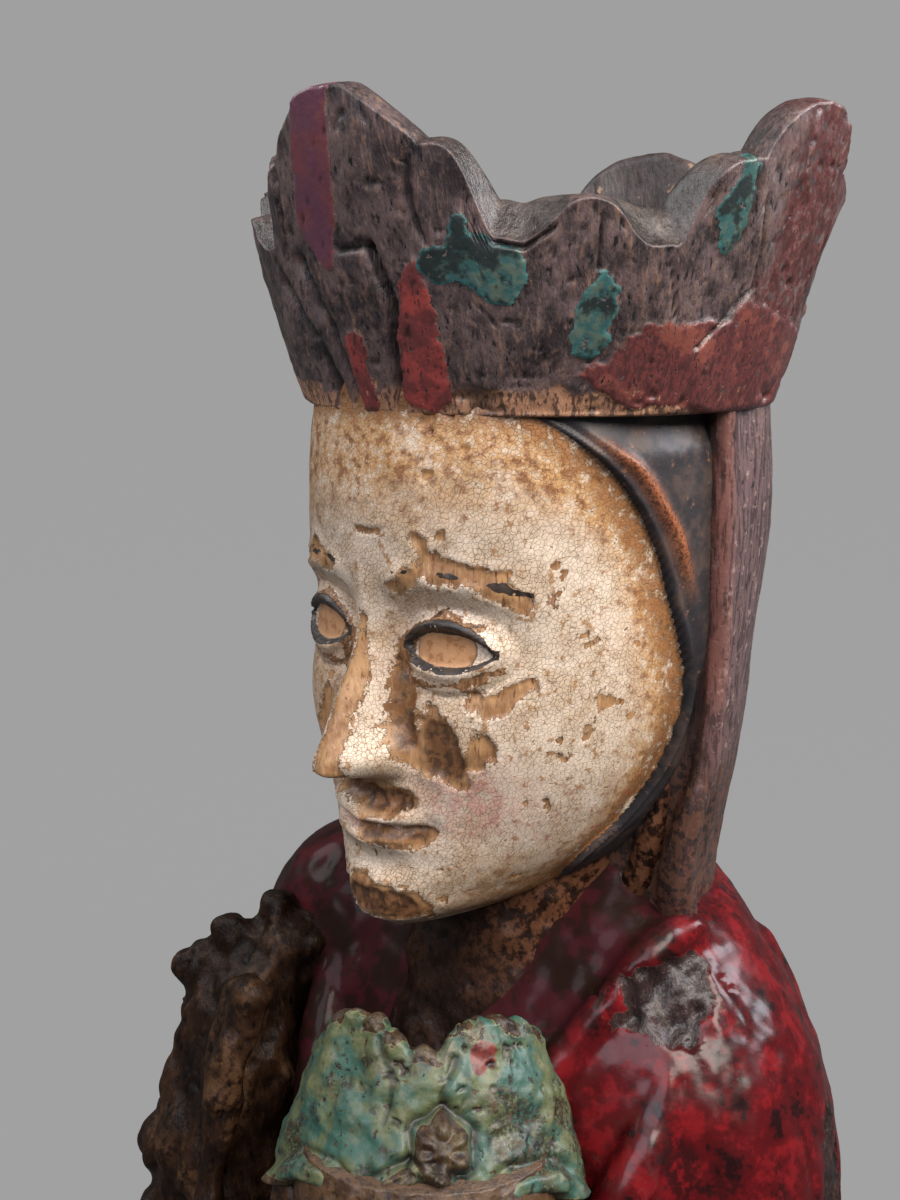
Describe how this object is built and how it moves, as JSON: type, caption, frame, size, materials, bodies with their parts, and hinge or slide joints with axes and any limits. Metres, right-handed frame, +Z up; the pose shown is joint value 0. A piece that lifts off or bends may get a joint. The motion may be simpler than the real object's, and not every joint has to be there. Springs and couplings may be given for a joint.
{
  "type": "wooden madonna and child figure",
  "caption": "A worn, painted wooden bust of a crowned madonna with a veil and red mantle, one hand raised, and her crowned child in front of her.",
  "frame": {"origin": "On the neck's axis, at the middle of the flat cut underside.", "axes": "+Z is up. The madonna faces -Y, and her left hand is at +X."},
  "size_m": [0.1732, 0.1657, 0.3198],
  "materials": {
    "painted_wood": "old carved wood with worn, flaking paint in cream, red and green over bare dark wood"
  },
  "bodies": {
    "root": {"madonna_and_child": "painted_wood"}
  },
  "joints": []
}
